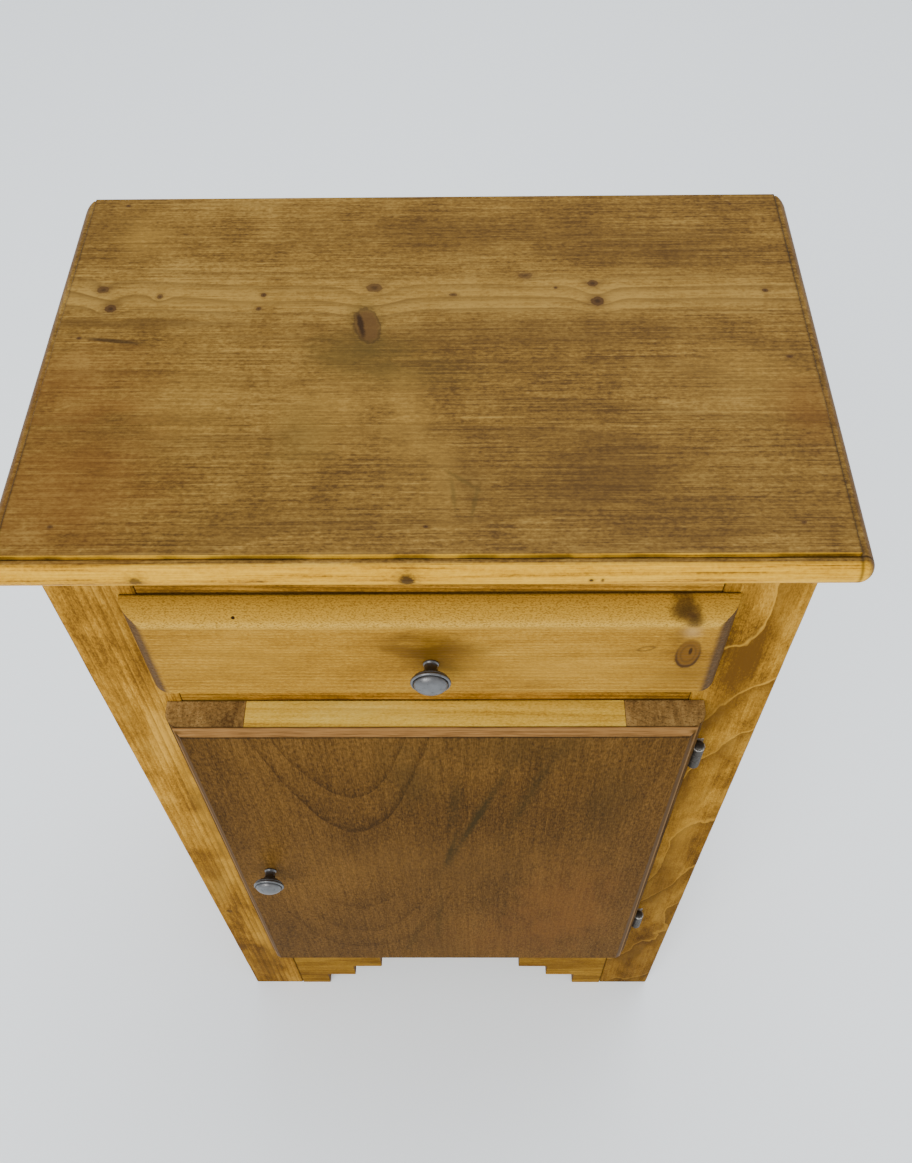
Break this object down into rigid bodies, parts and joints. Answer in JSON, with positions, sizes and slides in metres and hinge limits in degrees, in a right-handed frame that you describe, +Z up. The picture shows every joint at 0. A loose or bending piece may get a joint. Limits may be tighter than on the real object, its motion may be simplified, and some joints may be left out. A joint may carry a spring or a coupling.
{
  "type": "bedside cabinet",
  "caption": "Upright pine bedside cabinet with an overlaid drawer above a hinged cupboard door, moulded top board and stepped apron between the front feet",
  "frame": {"origin": "on the floor, at the middle of the overall box's footprint", "axes": "+Z up, +X to the right seen from the front, +Y towards the back; drawer and door face -Y"},
  "size_m": [0.488, 0.3422, 0.853],
  "materials": {
    "top_wood": "worn wax over brown stained pine",
    "frame_wood": "satin lacquer on golden pine",
    "drawer_front_wood": "satin lacquer on golden pine",
    "door_wood": "thin lacquer on pine",
    "door_skin_wood": "satin lacquer on brown stained veneer plywood",
    "inner_wood": "bare planed softwood",
    "pewter": "satin pewter plate",
    "dark_iron": "worn blackened steel",
    "zinc_steel": "bright zinc",
    "brown_plastic": "matte moulded"
  },
  "bodies": {
    "cabinet": {"top_board_front": "top_wood", "top_board_middle": "top_wood", "top_board_back": "top_wood", "left_post": "frame_wood", "right_post": "frame_wood", "top_rail": "frame_wood", "middle_rail": "frame_wood", "stepped_apron": "frame_wood", "left_side_board": "frame_wood", "right_side_board": "frame_wood", "back_panel": "inner_wood", "back_top_rail": "inner_wood", "back_low_rail": "inner_wood", "cupboard_floor": "inner_wood", "shelf": "inner_wood", "left_floor_cleat": "inner_wood", "right_floor_cleat": "inner_wood", "left_shelf_cleat": "inner_wood", "right_shelf_cleat": "inner_wood", "left_top_cleat": "inner_wood", "right_top_cleat": "inner_wood", "left_runner": "inner_wood", "right_runner": "inner_wood", "left_guide": "inner_wood", "right_guide": "inner_wood", "left_kicker": "inner_wood", "right_kicker": "inner_wood", "frame_dowels": "inner_wood", "top_screws": "zinc_steel", "cleat_screws": "zinc_steel", "runner_screws": "zinc_steel", "back_nails": "zinc_steel", "upper_hinge_post_leaf": "dark_iron", "lower_hinge_post_leaf": "dark_iron", "upper_hinge_pin": "dark_iron", "lower_hinge_pin": "dark_iron", "post_leaf_screws": "dark_iron", "door_catch": "brown_plastic", "catch_screws": "zinc_steel"},
    "drawer": {"drawer_front": "drawer_front_wood", "drawer_box_front": "inner_wood", "left_drawer_side": "inner_wood", "right_drawer_side": "inner_wood", "drawer_back": "inner_wood", "drawer_bottom": "inner_wood", "drawer_nails": "zinc_steel", "drawer_front_screws": "zinc_steel", "drawer_knob": "pewter", "drawer_knob_screw": "zinc_steel"},
    "door": {"left_door_stile": "door_wood", "right_door_stile": "door_wood", "door_top_rail": "door_wood", "door_bottom_rail": "door_wood", "door_skin": "door_skin_wood", "door_knob": "pewter", "door_knob_screw": "zinc_steel", "upper_hinge_door_leaf": "dark_iron", "lower_hinge_door_leaf": "dark_iron", "door_leaf_screws": "dark_iron", "strike_plate": "zinc_steel"}
  },
  "joints": [
    {"name": "drawer_slide", "type": "slide", "parent": "cabinet", "child": "drawer", "axis": [0, -1, 0], "range_m": [0, 0.19]},
    {"name": "door_hinge", "type": "hinge", "parent": "cabinet", "child": "door", "pos_m": [0.1865, -0.13135, 0.423], "axis": [0, 0, 1], "range_deg": [0, 120]}
  ]
}
